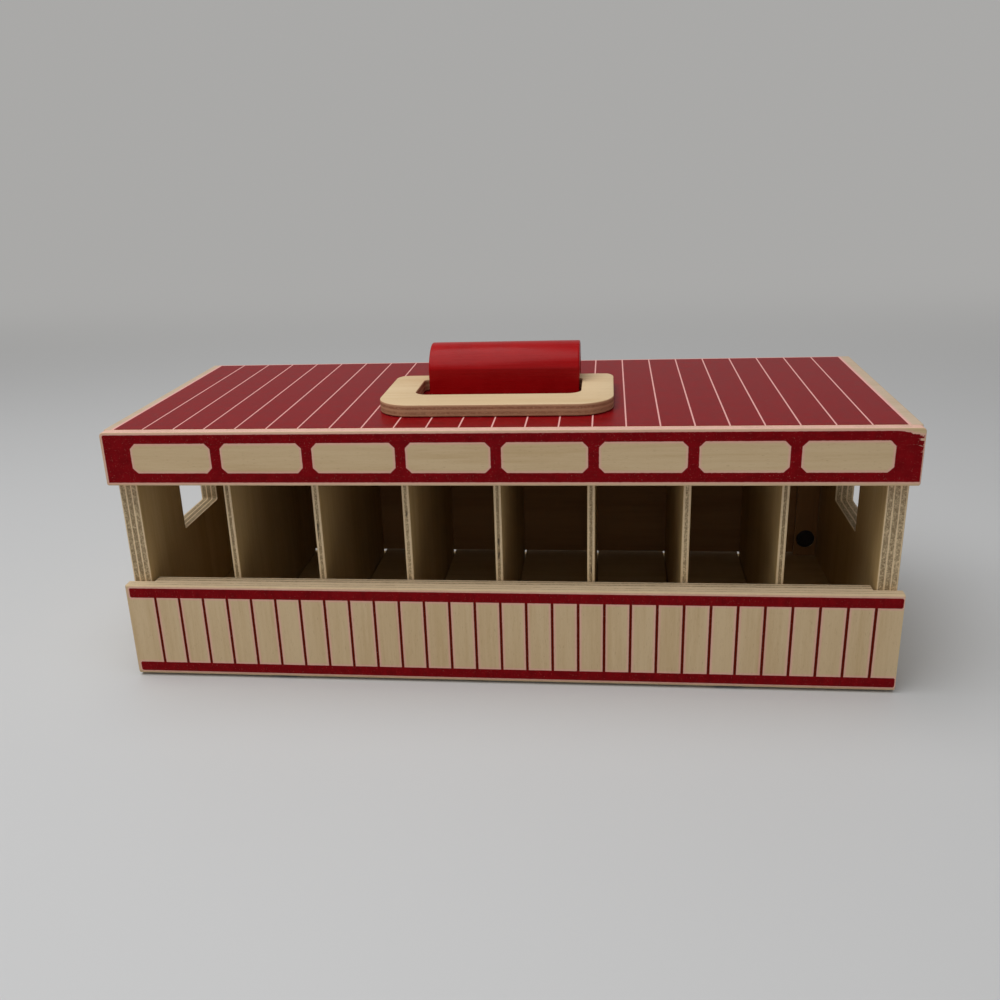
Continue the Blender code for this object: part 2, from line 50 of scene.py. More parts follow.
class Wire:
    # a node socket that takes Python's operators; add makes any other node
    def __init__(self, tree, socket=None):
        self.tree = tree
        self.socket = socket

    def add(self, kind, settings=None, inputs=None, out=0):
        node = self.tree.nodes.new(kind)
        for name, value in (settings or {}).items():
            setattr(node, name, value)
        for name, value in (inputs or {}).items():
            if isinstance(value, Wire):
                self.tree.links.new(value.socket, node.inputs[name])
            else:
                node.inputs[name].default_value = value
        return Wire(self.tree, node.outputs[out])

    def maths(self, operation, *values):
        return self.add("ShaderNodeMath", {"operation": operation}, dict(enumerate(values)))

    def __add__(self, other):
        return self.maths("ADD", self, other)

    def __sub__(self, other):
        return self.maths("SUBTRACT", self, other)

    def __rsub__(self, other):
        return self.maths("SUBTRACT", other, self)

    def __mul__(self, other):
        return self.maths("MULTIPLY", self, other)

    def __truediv__(self, other):
        return self.maths("DIVIDE", self, other)

    def __rtruediv__(self, other):
        return self.maths("DIVIDE", other, self)

    def __neg__(self):
        return self.maths("SUBTRACT", 0, self)

    def __abs__(self):
        return self.maths("ABSOLUTE", self)

    __radd__ = __add__
    __rmul__ = __mul__

    def floor(self):
        return self.maths("FLOOR", self)

    def least(self, other):
        return self.maths("MINIMUM", self, other)

    def most(self, other):
        return self.maths("MAXIMUM", self, other)

    def rise(self, start, stop):
        # 0 below start, 1 above stop, and smooth between them
        return self.add("ShaderNodeMapRange", {"interpolation_type": "SMOOTHSTEP"},
                        {"Value": self, "From Min": start, "From Max": stop})

    def shift(self, move):
        return self.add("ShaderNodeVectorMath", {"operation": "ADD"}, {0: self, 1: move})

    def stretch(self, scales):
        # one scale for all three ways, or three scales
        if not isinstance(scales, tuple):
            scales = (scales, scales, scales)
        return self.add("ShaderNodeVectorMath", {"operation": "MULTIPLY"}, {0: self, 1: scales})

    def noise(self, detail, roughness, distortion=0.0):
        return self.add("ShaderNodeTexNoise", None, {
            "Vector": self, "Scale": 1.0, "Detail": detail,
            "Roughness": roughness, "Distortion": distortion})

    def split(self):
        node = self.tree.nodes.new("ShaderNodeSeparateXYZ")
        self.tree.links.new(self.socket, node.inputs[0])
        return [Wire(self.tree, output) for output in node.outputs]


def mixColours(share, low, high):
    # low where share is 0, high where it is 1
    maker = next(part for part in (share, low, high) if isinstance(part, Wire))
    return maker.add("ShaderNodeMix", {"data_type": "RGBA"}, {0: share, 6: low, 7: high}, out=2)


def newSurface(name):
    surface = bpy.data.materials.new(name)
    surface.use_nodes = True
    shader = surface.node_tree.nodes["Principled BSDF"]
    place = Wire(surface.node_tree).add("ShaderNodeTexCoord", out="Object")
    return surface, shader, place


def setSurface(piece, surface):
    piece.data.materials.clear()
    piece.data.materials.append(surface)


def connect(wire, shader, name):
    wire.tree.links.new(wire.socket, shader.inputs[name])


def addBump(wire, shader, distance, strength):
    bump = wire.add("ShaderNodeBump", None, {"Height": wire, "Distance": distance, "Strength": strength})
    connect(bump, shader, "Normal")


# the tones of the wood, and of the ink on it
timber = {
    "pale": (0.700, 0.530, 0.322, 1),
    "warm": (0.585, 0.410, 0.220, 1),
    # stallPale and stallWarm are a painted bounce tint: warmer and more saturated than the outer faces,
    # standing for the reddened, shaded light inside the stalls
    "stallPale": (0.640, 0.460, 0.222, 1),
    "stallWarm": (0.490, 0.325, 0.130, 1),
    "roofPale": (0.560, 0.440, 0.325, 1),
    "roofWarm": (0.485, 0.365, 0.250, 1),
    # rearPale and rearWarm are painted shade: a darker brown for the rear door's inner face and the rear
    # posts, deep in the shaded stalls
    "rearPale": (0.480, 0.260, 0.105, 1),
    "rearWarm": (0.370, 0.180, 0.065, 1),
    "pore": (0.300, 0.165, 0.080, 1),
    "edgePale": (0.720, 0.560, 0.365, 1),
    "edgeOlive": (0.330, 0.235, 0.130, 1),
    "wallEdgePale": (0.820, 0.630, 0.390, 1),
    "wallEdgeOlive": (0.270, 0.190, 0.098, 1),
    "ringPale": (0.560, 0.330, 0.185, 1),
    "ringBrown": (0.340, 0.160, 0.080, 1),
    "signPale": (0.790, 0.490, 0.400, 1),
    "glue": (0.120, 0.066, 0.032, 1),
    # holeShade is painted shade: near black for the voids and cracks in the ply edges
    "holeShade": (0.020, 0.012, 0.008, 1),
    "red": (0.256, 0.0028, 0.0060, 1),
    "redDeep": (0.152, 0.0015, 0.0034, 1),
    "redBrown": (0.115, 0.0062, 0.0008, 1),
    "stain": (0.960, 0.400, 0.430, 1),
}

faceForm = {
    # waves per metre along the grain and across it
    "rings": (5, 60),
    "streaks": (22, 520),
    "fibres": (140, 3400),
    "pores": (420, 5200),
    "poreRise": (0.66, 0.76),
    # how far each one moves the tone
    "middleTone": 0.34,
    "ringTone": 1.1,
    "streakTone": 0.9,
    "fibreTone": 0.5,
    "poreTone": 0.35,
    "streakHeight": 0.5,
    "fibreHeight": 0.4,
    "poreHeight": -0.5,
    # where a face counts as turned to one side
    "sideRise": (0.6, 0.8),
}


def woodFace(place, board, outward):
    # sapwood with long soft streaks, fine fibres and short pores; returns colour and height
    seed = board["seed"]
    moved = place.shift((seed, seed * 0.7, seed * 1.3))

    def drawn(name):
        along, across = faceForm[name]
        scales = [across, across, across]
        scales[axisOf[board["grain"]]] = along
        return moved.stretch(tuple(scales))

    rings = drawn("rings").noise(2, 0.5, 0.8)
    streaks = drawn("streaks").noise(4, 0.6, 0.2)
    fibres = drawn("fibres").noise(2, 0.6)
    pores = drawn("pores").noise(1, 0.5).rise(*faceForm["poreRise"])
    share = (rings - 0.5) * faceForm["ringTone"] + (streaks - 0.5) * faceForm["streakTone"]
    share = share + (fibres - 0.5) * faceForm["fibreTone"] + faceForm["middleTone"]
    share = share.rise(0, 1)
    colour = mixColours(share, timber["pale"], timber["warm"])
    if "veneerAndShade" in board:
        # one side has another tone, and with a side of 0 both have it: on the roof's top a real veneer, on
        # the stalls' inner faces a warmer painted bounce tint, and on the rear door's inner face and the rear
        # posts painted shade
        veneerAndShade = mixColours(share, timber[board["veneerAndShade"] + "Pale"], timber[board["veneerAndShade"] + "Warm"])
        side = board["innerSide"]
        turned = (outward * side).rise(*faceForm["sideRise"]) if side else abs(outward).rise(0, 0.1)
        colour = mixColours(turned, colour, veneerAndShade)
    colour = mixColours(pores * faceForm["poreTone"], colour, timber["pore"])
    height = streaks * faceForm["streakHeight"] + fibres * faceForm["fibreHeight"]
    height = height + pores * faceForm["poreHeight"]
    return colour, height


edgeForm = {
    "paleShare": 0.5,
    "layerSoft": 0.05,
    "waver": 0.10,
    "waverScale": 30,
    "endScale": 1500,
    "blotScale": 420,
    "longScales": (90, 90, 2600),
    # the end grain's tone, and how far each thing moves it
    "endTone": 0.74,
    "layerSpread": 0.3,
    "endSpread": 2.6,
    "blotSpread": 0.7,
    # the same for the pale veneers
    "paleTone": 0.14,
    "longSpread": 0.5,
    "fleckSpread": 0.9,
    "seamWidth": 0.07,
    "seamTone": 0.5,
    "seamScale": 240,
    "seamBreaks": (0.42, 0.62),
    "voidScale": 75,
    "voidRise": (0.74, 0.76),
    "voidTone": 0.85,
    "crackScales": (500, 500, 85),
    "crackRise": (0.62, 0.68),
    "endHeight": 0.6,
    "layerHeight": -0.2,
    "seamHeight": -0.4,
    "voidHeight": -2,
}


def plyEdge(place, board):
    # the stack of veneers on a cut edge: pale long-grain veneers, and mottled end grain between them
    across = place.split()[axisOf[board["through"]]]
    waver = place.stretch(edgeForm["waverScale"]).noise(2, 0.5)
    pairs = (board["plies"] + 1) / 2
    paleShare = board.get("paleShare", edgeForm["paleShare"])
    soft = edgeForm["layerSoft"]
    # a pair is a pale layer and an end-grain layer, and the last pale layer closes the stack
    span = (board["high"] - board["low"]) / (pairs - 1 + paleShare)
    depth = (across - board["low"]) / span + (waver - 0.5) * edgeForm["waver"]
    layer = depth.floor()
    part = depth - layer
    turned = part.rise(paleShare - soft, paleShare + soft) * (1 - part.rise(1 - soft, 1))
    tone = layer.add("ShaderNodeTexWhiteNoise", {"noise_dimensions": "1D"},
                     {"W": layer + board["seed"] * 100})
    ends = place.stretch(edgeForm["endScale"]).noise(3, 0.8)
    blots = place.stretch(edgeForm["blotScale"]).noise(2, 0.6)
    longs = place.stretch(edgeForm["longScales"]).noise(2, 0.6)
    endTone = (tone - 0.5) * edgeForm["layerSpread"] + (ends - 0.5) * edgeForm["endSpread"]
    endTone = endTone + (blots - 0.5) * edgeForm["blotSpread"] + edgeForm["endTone"]
    paleTone = (longs - 0.5) * edgeForm["longSpread"] + (ends - 0.5) * edgeForm["fleckSpread"]
    paleTone = paleTone + edgeForm["paleTone"]
    share = turned * endTone + (1 - turned) * paleTone
    colour = mixColours(share.rise(0, 1), timber[board.get("light", "edgePale")],
                        timber[board.get("brown", "edgeOlive")])
    toSeam = abs(part - paleShare).least(part).least(1 - part)
    seam = 1 - toSeam.rise(0, edgeForm["seamWidth"])
    breaks = place.stretch(edgeForm["seamScale"]).noise(2, 0.6).rise(*edgeForm["seamBreaks"])
    colour = mixColours(seam * breaks * edgeForm["seamTone"], colour, timber["glue"])
    # voids and cracks in the end-grain layers are painted near black, painted shade in gaps that the mesh
    # does not cut; they also dent the bump
    voids = place.stretch(edgeForm["voidScale"]).noise(1, 0.5).rise(*edgeForm["voidRise"])
    if "cracks" in board:
        cracks = place.stretch(edgeForm["crackScales"]).noise(2, 0.6).rise(*edgeForm["crackRise"])
        voids = voids.most(cracks * board["cracks"])
    voids = voids * turned
    colour = mixColours(voids * edgeForm["voidTone"], colour, timber["holeShade"])
    height = ends * edgeForm["endHeight"] + turned * edgeForm["layerHeight"]
    height = height + seam * edgeForm["seamHeight"] + voids * edgeForm["voidHeight"]
    return colour, height


boardFinish = {
    "faceRise": (0.55, 0.8),
    "faceHeight": 0.6,
    "roughness": 0.62,
    "roughSpread": 0.12,
    "middleHeight": 0.4,
    "gloss": 0.3,
    "bumpDistance": 0.12 * mm,
    "bumpStrength": 0.55,
}
inkForm = {
    "soft": 0.12 * mm,
    "reach": 1.5 * mm,
    "strength": 0.5,
    "mottleScale": 300,
    "mottleShare": 0.5,
    "grainShare": 0.6,
    "toneRise": (0.25, 0.75),
    "pinholeScale": 3300,
    "pinholeRise": (0.735, 0.77),
    "pinholeShare": 0.6,
    "roughSpread": 0.10,
    "fill": 0.5,
}


def boardSurface(name, board, printing=None):
    # plywood with grain on its two faces, veneers on its edges and, where asked, a print on one face
    surface, shader, place = newSurface(name)
    facing = place.add("ShaderNodeTexCoord", out="Normal")
    outward = facing.split()[axisOf[board["through"]]]
    faceColour, faceHeight = woodFace(place, board, outward)
    edgeColour, edgeHeight = plyEdge(place, board)
    onFace = abs(outward).rise(*boardFinish["faceRise"])
    colour = mixColours(onFace, edgeColour, faceColour)
    height = edgeHeight * (1 - onFace) + faceHeight * onFace * boardFinish["faceHeight"]
    rough = boardFinish["roughness"] + (faceHeight - boardFinish["middleHeight"]) * boardFinish["roughSpread"]
    if printing:
        # the print's edge is crisp, and a little of its red has drawn into the bare wood beside it
        inward, thin = printing(place)
        soft = inkForm["soft"]
        onPrintSide = (outward * board["printSide"]).rise(*faceForm["sideRise"])
        stained = inward.rise(-board.get("inkReach", inkForm["reach"]), soft)
        stained = stained * onPrintSide * board.get("inkStrength", inkForm["strength"])
        colour = mixColours(stained, colour, timber["stain"])
        mottle = place.stretch(inkForm["mottleScale"]).noise(3, 0.6)
        pinholes = place.stretch(inkForm["pinholeScale"]).noise(1, 0.5).rise(*inkForm["pinholeRise"])
        printed = inward.rise(-soft, soft) * onPrintSide * (1 - pinholes * inkForm["pinholeShare"])
        tone = mottle * inkForm["mottleShare"] + faceHeight * inkForm["grainShare"]
        red = mixColours(tone.rise(*inkForm["toneRise"]), timber["redDeep"], timber["red"])
        red = mixColours(thin, red, timber["redBrown"])
        colour = mixColours(printed, colour, red)
        inkRough = board["printRough"] + (mottle - 0.5) * inkForm["roughSpread"]
        rough = rough * (1 - printed) + printed * inkRough
        height = height * (1 - printed * inkForm["fill"])
    connect(colour, shader, "Base Color")
    connect(rough, shader, "Roughness")
    addBump(height, shader, boardFinish["bumpDistance"], boardFinish["bumpStrength"])
    shader.inputs["Specular IOR Level"].default_value = board.get("gloss", boardFinish["gloss"])
    return surface


# a print function returns how far a place lies inside the print, and how thin its ink is there
printForm = {
    "raggedScale": 900,
    "diagonal": 0.707,     # makes a distance of the sum of two distances to a corner's sides
    "lastLine": (-0.1, 0.1),
}


def ragged(place, amount):
    # a small wander for the edge of a print
    return (place.stretch(printForm["raggedScale"]).noise(3, 0.6) - 0.5) * amount


def toNearestLine(x, form):
    # how far x lies outside the nearest line, and a whole pitch further past the last one
    steps = (x - form["lineShift"]) / form["linePitch"]
    nearest = (steps + 0.5).floor()
    past = (abs(nearest) - form["lines"] / 2).rise(*printForm["lastLine"])
    return (abs(steps - nearest) + past) * form["linePitch"] - form["lineWidth"] / 2


roofPrint = {
    "leftMargin": 5.0 * mm,
    "rightMargin": 6.1 * mm,
    "rearMargin": 1.6 * mm,
    "lines": 23,
    "linePitch": 14.47 * mm,
    "lineWidth": 0.65 * mm,
    "lineShift": -0.8 * mm,
    "wander": 0.2 * mm,
}


def printRoof(place):
    # red all over but for the margins and the thin lines
    x, y = place.split()[:2]
    low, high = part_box("roof")
    toEnd = (x - low.x - roofPrint["leftMargin"]).least(high.x - roofPrint["rightMargin"] - x)
    toRear = high.y - roofPrint["rearMargin"] - y
    inside = toEnd.least(toRear).least(toNearestLine(x, roofPrint))
    return inside + ragged(place, roofPrint["wander"]), 0


signPrint = {
    "topMargin": 1.3 * mm,
    "leftMargin": 1.3 * mm,
    "rightMargin": 0.6 * mm,
    "footMargin": 1.6 * mm,
    "footTilt": 0.001,
    "corner": 0.6 * mm,
    "panels": 8,
    "panelPitch": 42.1 * mm,
    "panelLength": 37.4 * mm,
    "panelLow": 5.9 * mm,
    "panelHigh": 19.7 * mm,
    "panelClip": 2.4 * mm,
    "panelShift": 1.2 * mm,
    "wander": 0.3 * mm,
    # the worn right end: its print falls away towards the top corner, and its upper half is scuffed
    "chipFrom": 167 * mm,
    "chipTo": 178 * mm,
    "chipDrop": 2.0 * mm,
    "chipScale": 420,
    "chipSpread": 1.6,
    "chipLeast": 0.1,
    "scuffRise": (-2 * mm, 5 * mm),
    "nickDepth": 2.0 * mm,
    "nickScales": (160, 160, 1300),
    "nickRise": (0.48, 0.66),
}


def printSign(place):
    # red all over but for the margins, the worn end and a row of bare octagons
    x, _, z = place.split()
    low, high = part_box("sign_board")
    chips = place.stretch(signPrint["chipScale"]).noise(3, 0.65) * signPrint["chipSpread"]
    drop = x.rise(signPrint["chipFrom"], signPrint["chipTo"])
    drop = drop * (chips + signPrint["chipLeast"]) * signPrint["chipDrop"]
    upper = (z - (low.z + high.z) / 2).rise(*signPrint["scuffRise"])
    nicks = place.stretch(signPrint["nickScales"]).noise(2, 0.7).rise(*signPrint["nickRise"])
    nicks = nicks * upper * signPrint["nickDepth"]
    toTop = high.z - signPrint["topMargin"] - drop - z
    toFoot = z - low.z - signPrint["footMargin"] - x * signPrint["footTilt"]
    toLeft = x - low.x - signPrint["leftMargin"]
    toRight = high.x - signPrint["rightMargin"] - x - nicks
    toCorner = (toTop + toLeft - signPrint["corner"]) * printForm["diagonal"]
    inside = toTop.least(toFoot).least(toLeft).least(toRight).least(toCorner)
    steps = (x - signPrint["panelShift"]) / signPrint["panelPitch"] + signPrint["panels"] / 2
    outOfRow = (-steps).most(steps - signPrint["panels"]).rise(-0.01, 0) * signPrint["panelPitch"]
    off = abs(steps - steps.floor() - 0.5) * signPrint["panelPitch"]
    toEnd = signPrint["panelLength"] / 2 - off - outOfRow
    toSide = (z - (low.z + signPrint["panelLow"])).least(low.z + signPrint["panelHigh"] - z)
    toClip = (toEnd + toSide - signPrint["panelClip"]) * printForm["diagonal"]
    panel = toEnd.least(toSide).least(toClip)
    return inside.least(-panel) + ragged(place, signPrint["wander"]), 0


doorPrint = {
    "leftMargin": 1.6 * mm,
    "rightMargin": 0.4 * mm,
    "corner": 0.6 * mm,
    "topBand": (41.75 * mm, 46.6 * mm),
    "footBand": (3.0 * mm, 7.7 * mm),
    "lines": 29,
    "linePitch": 11.78 * mm,
    "lineWidth": 1.3 * mm,
    "lineShift": 1.25 * mm,
    "thinRise": (-0.1 * mm, 0.5 * mm),
    "wander": 0.2 * mm,
}


def printDoor(place):
    # bare but for a red band along the top, one along the foot, and the lines between them
    x, _, z = place.split()
    low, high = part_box("front_door_panel")
    topLow, topHigh = doorPrint["topBand"]
    footLow, footHigh = doorPrint["footBand"]
    toEnd = (x - low.x - doorPrint["leftMargin"]).least(high.x - doorPrint["rightMargin"] - x)
    inside = (-toNearestLine(x, doorPrint)).least(z - footLow).least(topHigh - z)
    for bandLow, bandHigh in ((topLow, topHigh), (footLow, footHigh)):
        toSide = (z - bandLow).least(bandHigh - z)
        toCorner = (toSide + toEnd - doorPrint["corner"]) * printForm["diagonal"]
        inside = inside.most(toSide.least(toEnd).least(toCorner))
    # between the bands the ink is thinner, and the wood turns it brown
    thin = (z - footHigh).least(topLow - z).rise(*doorPrint["thinRise"])
    return inside + ragged(place, doorPrint["wander"]), thin


# each board: the way its grain runs, the way its veneers are stacked, how many there are, and its tones
boards = {
    "roof": {
        "grain": "x", "through": "z", "plies": 5, "seed": 0.11, "paleShare": 0.6,
        "veneerAndShade": "roof", "innerSide": 1, "printSide": 1, "printRough": 0.33,
        "gloss": 0.04, "inkReach": 2.2 * mm, "inkStrength": 0.6},
    "sign_board": {
        "grain": "x", "through": "y", "plies": 5, "seed": 0.23, "paleShare": 0.85, "light": "signPale",
        "printSide": -1, "printRough": 0.42, "gloss": 0.05},
    "front_door_panel": {
        "grain": "z", "through": "y", "plies": 5, "seed": 0.37, "paleShare": 0.85,
        "printSide": -1, "printRough": 0.42, "gloss": 0.05},
    "front_door_liner": {
        "grain": "x", "through": "y", "plies": 5, "seed": 0.41, "paleShare": 0.6},
    # the stall tone on the walls' inner faces and on the floor's top is a painted bounce tint for the shaded
    # stalls
    "left_side_wall": {
        "grain": "z", "through": "x", "plies": 7, "seed": 0.53, "paleShare": 0.28,
        "light": "wallEdgePale", "brown": "wallEdgeOlive", "veneerAndShade": "stall", "innerSide": 1},
    "right_side_wall": {
        "grain": "z", "through": "x", "plies": 7, "seed": 0.67, "paleShare": 0.28,
        "light": "wallEdgePale", "brown": "wallEdgeOlive", "veneerAndShade": "stall", "innerSide": -1},
    "floor": {
        "grain": "x", "through": "z", "plies": 7, "seed": 0.71, "veneerAndShade": "stall", "innerSide": 1},
    # the rear tone on the rear door's inner face and on both faces of the posts is painted shade for the deep
    # stalls
    "rear_door": {
        "grain": "x", "through": "y", "plies": 5, "seed": 0.83, "veneerAndShade": "rear", "innerSide": -1},
    "left_rear_post": {
        "grain": "z", "through": "y", "plies": 3, "seed": 0.87, "veneerAndShade": "rear", "innerSide": 0},
    "right_rear_post": {
        "grain": "z", "through": "y", "plies": 3, "seed": 0.89, "veneerAndShade": "rear", "innerSide": 0},
    "handle_ring": {
        "grain": "x", "through": "z", "plies": 5, "seed": 0.97, "light": "ringPale", "brown": "ringBrown"},
}
# the dividers carry the stall tone on both faces, a painted bounce tint for the shaded stalls
for number in range(1, 8):
    boards[f"divider_{number}"] = {
        "grain": "z", "through": "x", "plies": 3, "seed": 1 + number * 0.13, "paleShare": 0.45,
        "cracks": 0.9, "light": "wallEdgePale", "brown": "wallEdgeOlive", "veneerAndShade": "stall", "innerSide": 0}
printings = {"roof": printRoof, "sign_board": printSign, "front_door_panel": printDoor}

for name, board in boards.items():
    low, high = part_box(name)
    board["low"] = low[axisOf[board["through"]]]
    board["high"] = high[axisOf[board["through"]]]
    board["surface"] = boardSurface(f"{name} plywood", board, printings.get(name))
    setSurface(nodes[name], board["surface"])
print("boards surfaced")


paintFinish = {
    "deep": (0.300, 0.0024, 0.0034, 1),
    "bright": (0.385, 0.0034, 0.0048, 1),
    "thin": (0.50, 0.10, 0.08, 1),
    "brushScales": (40, 1100, 1100),
    "cloudScale": 70,
    "speckScale": 2600,
    "toneRise": (0.25, 0.75),
    "speckRise": (0.70, 0.80),
    "speckTone": 0.35,
    "roughness": 0.28,
    "roughSpread": 0.10,
    "gloss": 0.105,
    "bumpDistance": 0.08 * mm,
    "bumpStrength": 0.5,
}


def paintSurface():
    # thick red paint with faint brush marks along the block and small thin spots
    surface, shader, place = newSurface("red paint")
    brush = place.stretch(paintFinish["brushScales"]).noise(3, 0.6)
    cloud = place.stretch(paintFinish["cloudScale"]).noise(2, 0.5)
    specks = place.stretch(paintFinish["speckScale"]).noise(1, 0.5)
    share = (brush * 0.4 + cloud * 0.6).rise(*paintFinish["toneRise"])
    colour = mixColours(share, paintFinish["deep"], paintFinish["bright"])
    spots = specks.rise(*paintFinish["speckRise"]) * paintFinish["speckTone"]
    colour = mixColours(spots, colour, paintFinish["thin"])
    rough = paintFinish["roughness"] + (cloud + brush - 1) * paintFinish["roughSpread"]
    connect(colour, shader, "Base Color")
    connect(rough, shader, "Roughness")
    shader.inputs["Specular IOR Level"].default_value = paintFinish["gloss"]
    addBump(brush * 0.6 + specks * 0.3, shader, paintFinish["bumpDistance"], paintFinish["bumpStrength"])
    return surface


steelFinish = {
    "dark": (0.46, 0.47, 0.48, 1),
    "bright": (0.66, 0.67, 0.69, 1),
    "spangleScale": 900.0,
    "scratchScales": (200, 5200, 5200),
    "spangleShare": 0.6,
    "roughness": 0.28,
    "spangleRough": 0.14,
    "scratchRough": 0.2,
    "bumpDistance": 0.03 * mm,
    "bumpStrength": 0.4,
}


def steelSurface():
    # zinc plating with a faint spangle and fine scratches
    surface, shader, place = newSurface("zinc plated steel")
    spangle = place.add("ShaderNodeTexVoronoi", None,
                        {"Vector": place, "Scale": steelFinish["spangleScale"]}, out="Color").split()[0]
    scratch = place.stretch(steelFinish["scratchScales"]).noise(2, 0.7)
    share = spangle * steelFinish["spangleShare"] + scratch * (1 - steelFinish["spangleShare"])
    rough = steelFinish["roughness"] + spangle * steelFinish["spangleRough"]
    rough = rough + (scratch - 0.5) * steelFinish["scratchRough"]
    connect(mixColours(share, steelFinish["dark"], steelFinish["bright"]), shader, "Base Color")
    connect(rough, shader, "Roughness")
    shader.inputs["Metallic"].default_value = 1
    addBump(scratch, shader, steelFinish["bumpDistance"], steelFinish["bumpStrength"])
    return surface


ferriteFinish = {
    "dark": (0.010, 0.010, 0.011, 1),
    "pale": (0.035, 0.034, 0.034, 1),
    "pitScale": 1900,
    "pitRise": (0.3, 0.7),
    "roughness": 0.5,
    "roughSpread": 0.3,
    "bumpDistance": 0.06 * mm,
    "bumpStrength": 0.5,
}


def ferriteSurface():
    # pressed black ferrite, matt and slightly pitted
    surface, shader, place = newSurface("black ferrite")
    pits = place.stretch(ferriteFinish["pitScale"]).noise(3, 0.7)
    share = pits.rise(*ferriteFinish["pitRise"])
    connect(mixColours(share, ferriteFinish["dark"], ferriteFinish["pale"]), shader, "Base Color")
    connect(ferriteFinish["roughness"] + (pits - 0.5) * ferriteFinish["roughSpread"], shader, "Roughness")
    addBump(pits, shader, ferriteFinish["bumpDistance"], ferriteFinish["bumpStrength"])
    return surface


paint = paintSurface()
steel = steelSurface()
ferrite = ferriteSurface()
setSurface(nodes["handle_saddle"], paint)
for name, node in nodes.items():
    if any(word in name for word in ("pin", "lug", "screw", "strike")):
        setSurface(node, steel)
    if "magnet" in name:
        setSurface(node, ferrite)
print("paint, steel and magnets surfaced")


sharpAngle = 60
smoothAngle = 32


def pick(kind, test):
    # in edit mode, selects the corners, edges or faces whose place passes the test
    bpy.ops.mesh.select_mode(type=kind)
    bpy.ops.mesh.select_all(action="DESELECT")
    bpy.ops.object.mode_set(mode="OBJECT")
    mesh = bpy.context.object.data
    corners = mesh.vertices
    if kind == "VERT":
        for corner in corners:
            corner.select = test(corner.co)
    elif kind == "EDGE":
        for edge in mesh.edges:
            edge.select = test(corners[edge.vertices[0]].co, corners[edge.vertices[1]].co)
    else:
        for face in mesh.polygons:
            face.select = test(face.center)
    bpy.ops.object.mode_set(mode="EDIT")


def near(*values):
    # the last value is the goal of all the others
    return all(abs(value - values[-1]) < tiny for value in values[:-1])


def push(x, y, z):
    bpy.ops.mesh.extrude_region_move(TRANSFORM_OT_translate={"value": (x, y, z)})


def bakePlace():
    # puts the piece's place into its mesh, so its object sits at the origin
    bpy.ops.object.transform_apply(location=True, rotation=True, scale=True)


def turnOutwards():
    bpy.ops.mesh.select_all(action="SELECT")
    bpy.ops.mesh.normals_make_consistent(inside=False)


def tidyShape():
    bpy.ops.mesh.select_all(action="SELECT")
    bpy.ops.mesh.remove_doubles(threshold=tiny)
    turnOutwards()
    bpy.ops.object.mode_set(mode="OBJECT")
    bakePlace()
    bpy.ops.object.shade_smooth_by_angle(angle=math.radians(smoothAngle))


def readLevels(middle):
    # in edit mode, the heights above the middle at which the piece has corners
    bpy.ops.object.mode_set(mode="OBJECT")
    levels = sorted({round(corner.co.z - middle, 6) for corner in bpy.context.object.data.vertices})
    bpy.ops.object.mode_set(mode="EDIT")
    return levels


def hangOn(piece, name, body, node, surface):
    piece.name = name
    setSurface(piece, surface)
    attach(piece, body)
    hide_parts(node)


ringForm = {
    "frontCorner": 17 * mm,
    "rearCorner": 9 * mm,
    "slotFrontCorner": 6.5 * mm,
    "slotRearCorner": 3 * mm,
    "gripBar": 21.3 * mm,
    "pivotBar": 11.8 * mm,
    "sideBar": 15.1 * mm,
    "cornerSteps": 12,
    "ease": 0.45 * mm,
    "easeSteps": 3,
    "roundShares": (-0.55, -0.28, 0, 0.28, 0.55),
}


def roundedPlate(low, high, frontCorner, rearCorner):
    # a flat plate from a plane, with its two front and two rear corners rounded
    bpy.ops.object.select_all(action="DESELECT")
    bpy.ops.mesh.primitive_plane_add(size=1, location=((low.x + high.x) / 2, (low.y + high.y) / 2, low.z))
    plate = bpy.context.object
    plate.scale = (high.x - low.x, high.y - low.y, 1)
    bakePlace()
    bpy.ops.object.mode_set(mode="EDIT")
    for edgeY, corner in ((low.y, frontCorner), (high.y, rearCorner)):
        pick("VERT", lambda place: near(place.y, edgeY))
        bpy.ops.mesh.bevel(offset=corner, segments=ringForm["cornerSteps"], affect="VERTICES")
    bpy.ops.object.mode_set(mode="OBJECT")
    return plate


